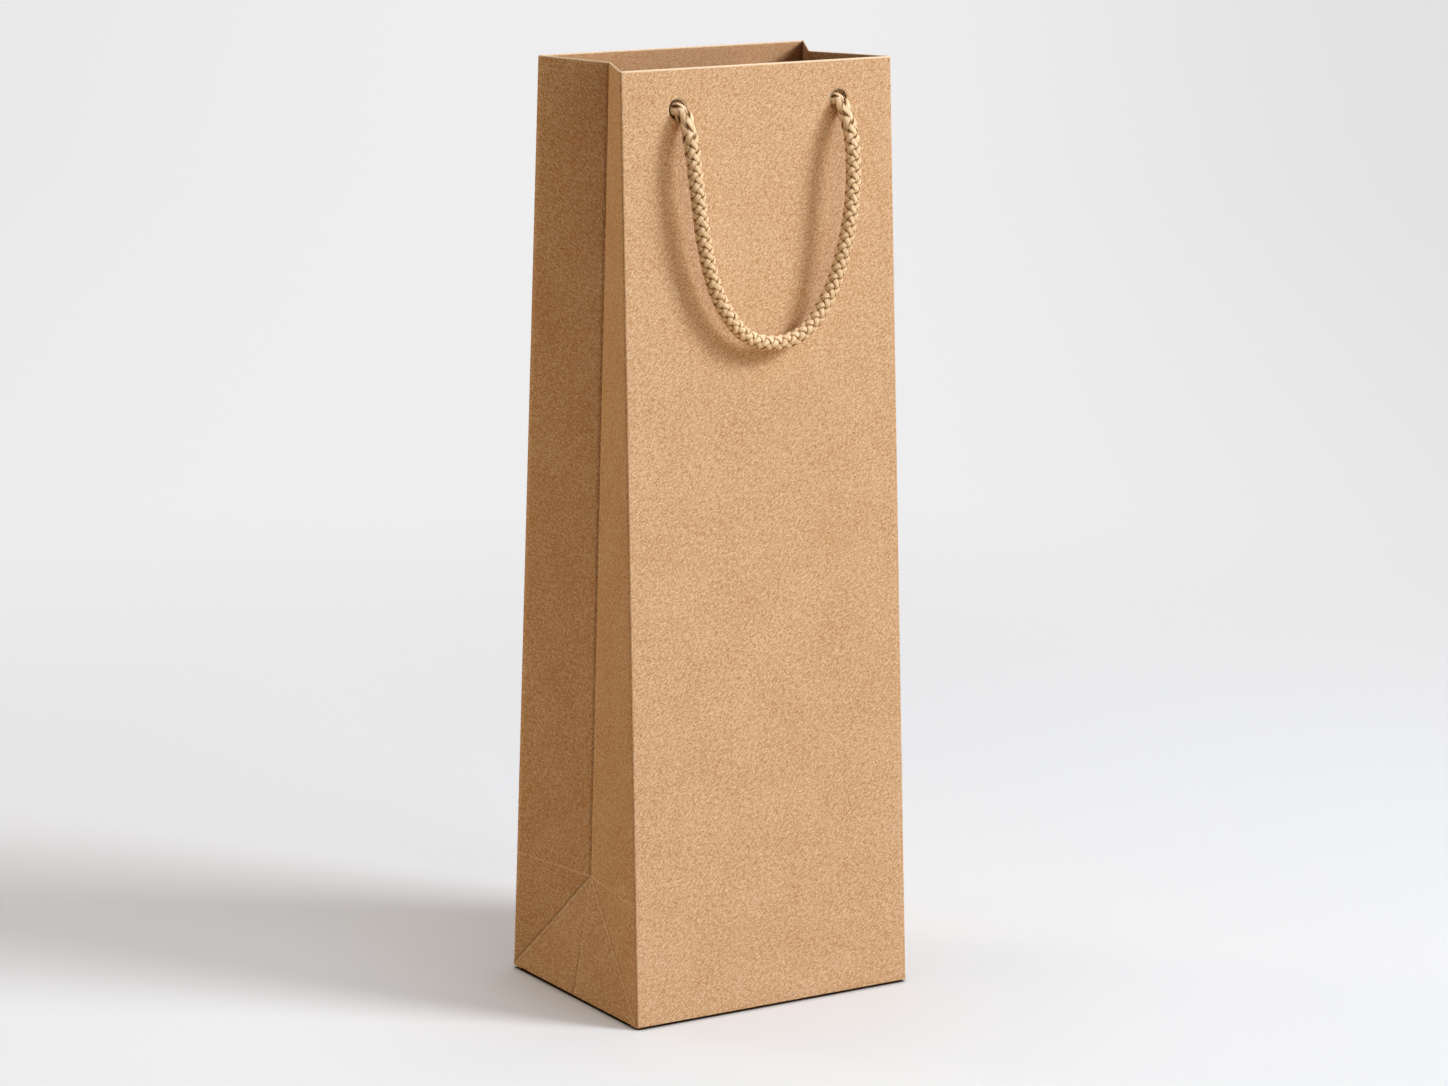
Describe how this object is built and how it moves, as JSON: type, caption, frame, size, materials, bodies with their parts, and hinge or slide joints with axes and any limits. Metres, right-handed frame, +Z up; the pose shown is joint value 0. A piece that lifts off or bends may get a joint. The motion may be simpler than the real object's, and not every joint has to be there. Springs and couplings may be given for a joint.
{
  "type": "paper bottle bag",
  "caption": "Tall kraft paper bottle bag with folded gussets, a turned-in hem over card, a base board and a braided rope handle on the front and the back that swings up for carrying.",
  "frame": {"origin": "middle of the base, on the surface that the bag stands on", "axes": "+Z up, +X across the front to the right of someone facing it, front panel towards -Y"},
  "size_m": [0.12, 0.095, 0.36],
  "materials": {
    "kraft_paper": "matte",
    "hem_card": "matte",
    "base_board": "matte",
    "rope": "braided"
  },
  "bodies": {
    "root": {"left_gusset_front": "kraft_paper", "left_gusset_front_turn_in": "kraft_paper", "left_gusset_front_foot": "kraft_paper", "right_gusset_front": "kraft_paper", "right_gusset_front_turn_in": "kraft_paper", "right_gusset_front_foot": "kraft_paper", "left_gusset_rear": "kraft_paper", "left_gusset_rear_turn_in": "kraft_paper", "left_gusset_rear_foot": "kraft_paper", "right_gusset_rear": "kraft_paper", "right_gusset_rear_turn_in": "kraft_paper", "right_gusset_rear_foot": "kraft_paper", "left_base_triangle": "kraft_paper", "right_base_triangle": "kraft_paper", "bottom_front_flap": "kraft_paper", "bottom_rear_flap": "kraft_paper", "bottom_left_flap": "kraft_paper", "bottom_right_flap": "kraft_paper", "base_board": "base_board"},
    "front_wall": {"front_panel": "kraft_paper", "front_turn_in": "kraft_paper", "front_top_card": "hem_card", "side_seam_flap": "kraft_paper", "front_left_rope_end": "rope", "front_right_rope_end": "rope"},
    "back_wall": {"back_panel": "kraft_paper", "back_turn_in": "kraft_paper", "back_top_card": "hem_card", "back_left_rope_end": "rope", "back_right_rope_end": "rope"},
    "front_handle": {"front_handle_loop": "rope"},
    "back_handle": {"back_handle_loop": "rope"}
  },
  "joints": [
    {"name": "front_wall_flex", "type": "hinge", "parent": "root", "child": "front_wall", "pos_m": [0, -0.04735, 0.00015], "axis": [-1, 0, 0], "range_deg": [-2.7, 2.2], "stiffness_Nm_per_rad": 5, "deforming": ["left_gusset_front", "left_gusset_front_turn_in", "left_gusset_front_foot", "right_gusset_front", "right_gusset_front_turn_in", "right_gusset_front_foot"]},
    {"name": "back_wall_flex", "type": "hinge", "parent": "root", "child": "back_wall", "pos_m": [0, 0.04735, 0.00015], "axis": [1, 0, 0], "range_deg": [-2.7, 2.2], "stiffness_Nm_per_rad": 5, "deforming": ["left_gusset_rear", "left_gusset_rear_turn_in", "left_gusset_rear_foot", "right_gusset_rear", "right_gusset_rear_turn_in", "right_gusset_rear_foot"]},
    {"name": "front_handle_swing", "type": "hinge", "parent": "front_wall", "child": "front_handle", "pos_m": [0, -0.0407, 0.34547], "axis": [-1, 0, 0], "range_deg": [0, 180]},
    {"name": "back_handle_swing", "type": "hinge", "parent": "back_wall", "child": "back_handle", "pos_m": [0, 0.0407, 0.34547], "axis": [1, 0, 0], "range_deg": [0, 180]}
  ]
}
